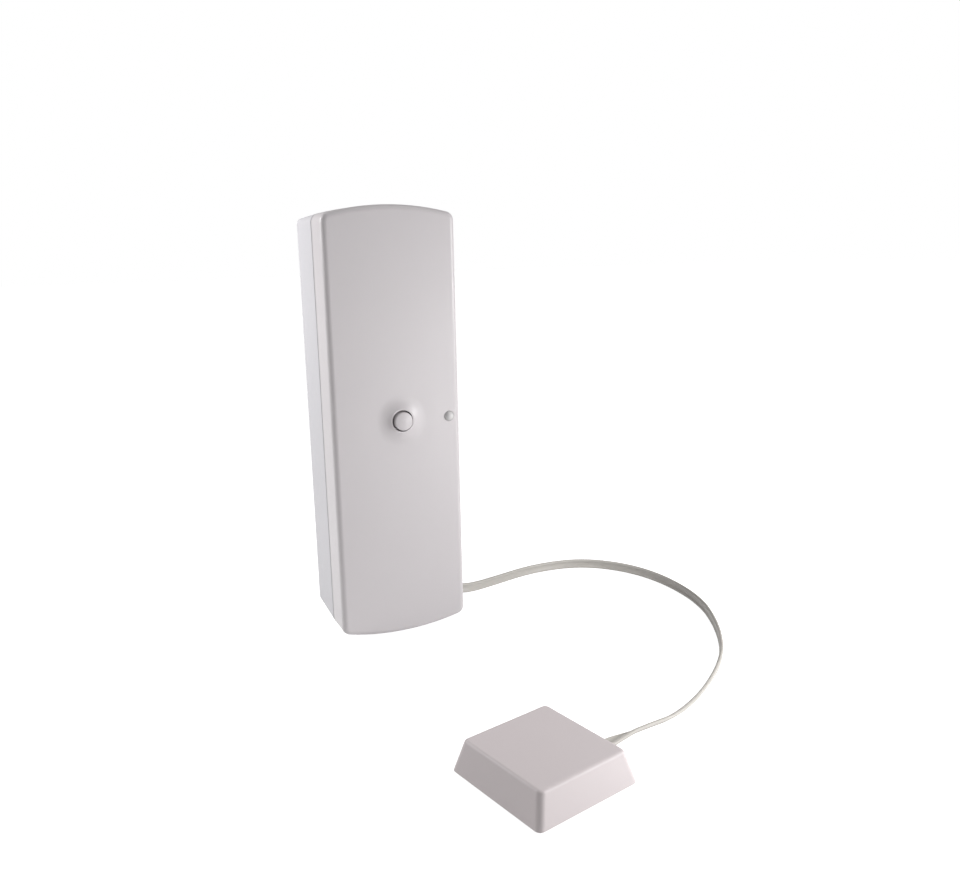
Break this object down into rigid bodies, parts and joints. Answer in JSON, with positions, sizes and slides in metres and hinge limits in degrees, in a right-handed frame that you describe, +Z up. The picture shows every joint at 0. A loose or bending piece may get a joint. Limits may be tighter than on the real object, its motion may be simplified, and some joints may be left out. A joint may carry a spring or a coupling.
{
  "type": "glass break detector",
  "caption": "Slim radio alarm detector with a click-on cover, test button and status light, wired by a flat lead to a small square sensor that sticks on a window pane.",
  "frame": {"origin": "on the surface that the pair stands on, under the middle of the box round the housing and the sensor, without the lead", "axes": "X across the housing to the side that the lead leaves, Y from the sensor back to the housing's wall face, Z up along the housing; the sensor's adhesive face looks along -Z"},
  "size_m": [0.0985, 0.1178, 0.11],
  "materials": {
    "housing_plastic": "fine moulded texture, warm white",
    "button_plastic": "smooth moulded, warm white",
    "clear_plastic": "milky, translucent",
    "board_laminate": "green solder mask",
    "screw_steel": "zinc plated",
    "spring_steel": "nickel plated",
    "cell_can": "plain film over a steel can",
    "tinned_can": "tinned sheet",
    "chip_plastic": "black moulding compound",
    "part_ceramic": "tan ceramic with tinned ends",
    "capacitor_sleeve": "shrunk sleeve",
    "led_resin": "tinted resin",
    "terminal_plastic": "green",
    "trimmer_plastic": "blue",
    "rotor_brass": "turned",
    "gland_rubber": "soft, pale grey",
    "cord_jacket": "flexible vinyl, off-white",
    "wire_red": "vinyl",
    "wire_black": "vinyl",
    "sensor_plastic": "satin, slightly pink white",
    "pad_foam": "white foam tape",
    "disc_brass": "stamped",
    "disc_ceramic": "silvered ceramic"
  },
  "bodies": {
    "housing": {"rear_base": "housing_plastic", "circuit_board": "board_laminate", "board_screws": "screw_steel", "battery_cell": "cell_can", "battery_spring": "spring_steel", "battery_plate": "spring_steel", "battery_wire_red": "wire_red", "battery_wire_black": "wire_black", "radio_module": "tinned_can", "antenna": "spring_steel", "microcontroller": "chip_plastic", "amplifier_chip": "chip_plastic", "crystal": "tinned_can", "capacitor": "capacitor_sleeve", "chip_parts": "part_ceramic", "status_led": "led_resin", "switch_body": "chip_plastic", "trimmer_body": "trimmer_plastic", "terminal_block": "terminal_plastic", "terminal_screws": "screw_steel", "tamper_switch": "chip_plastic", "tamper_spring": "spring_steel", "cord_gland": "gland_rubber", "cord_tail": "cord_jacket", "sensor_wire_red": "wire_red", "sensor_wire_black": "wire_black", "sensor_cord": "cord_jacket", "sensor_gland": "gland_rubber", "sensor_tail": "cord_jacket", "sensor_cap": "sensor_plastic", "sensor_plate": "sensor_plastic", "adhesive_pad": "pad_foam", "piezo_plate": "disc_brass", "piezo_element": "disc_ceramic", "disc_wire_red": "wire_red", "disc_wire_black": "wire_black"},
    "cover": {"front_cover": "housing_plastic", "light_pipe": "clear_plastic"},
    "button": {"test_button": "button_plastic"},
    "switch": {"switch_plunger": "chip_plastic"},
    "tamper": {"tamper_plunger": "button_plastic"},
    "trimmer": {"trimmer_rotor": "rotor_brass"}
  },
  "joints": [
    {"name": "cover_lift", "type": "slide", "parent": "housing", "child": "cover", "axis": [0, -1, 0], "range_m": [0, 0.045]},
    {"name": "button_press", "type": "slide", "parent": "cover", "child": "button", "axis": [0, 1, 0], "range_m": [0, 0.0006], "stiffness_N_per_m": 600, "springref_m": -0.0008},
    {"name": "switch_press", "type": "slide", "parent": "housing", "child": "switch", "axis": [0, 1, 0], "range_m": [0, 0.0006]},
    {"name": "tamper_press", "type": "slide", "parent": "housing", "child": "tamper", "axis": [0, -1, 0], "range_m": [0, 0.0012], "stiffness_N_per_m": 300, "springref_m": -0.002, "deforming": ["tamper_spring"]},
    {"name": "trimmer_turn", "type": "hinge", "parent": "housing", "child": "trimmer", "pos_m": [0.01058, 0.04175, 0.03494], "axis": [0, -1, 0], "range_deg": [-135, 135]}
  ],
  "couplings": [
    {"joint": "switch_press", "follows": "button_press", "ratio": 1}
  ]
}
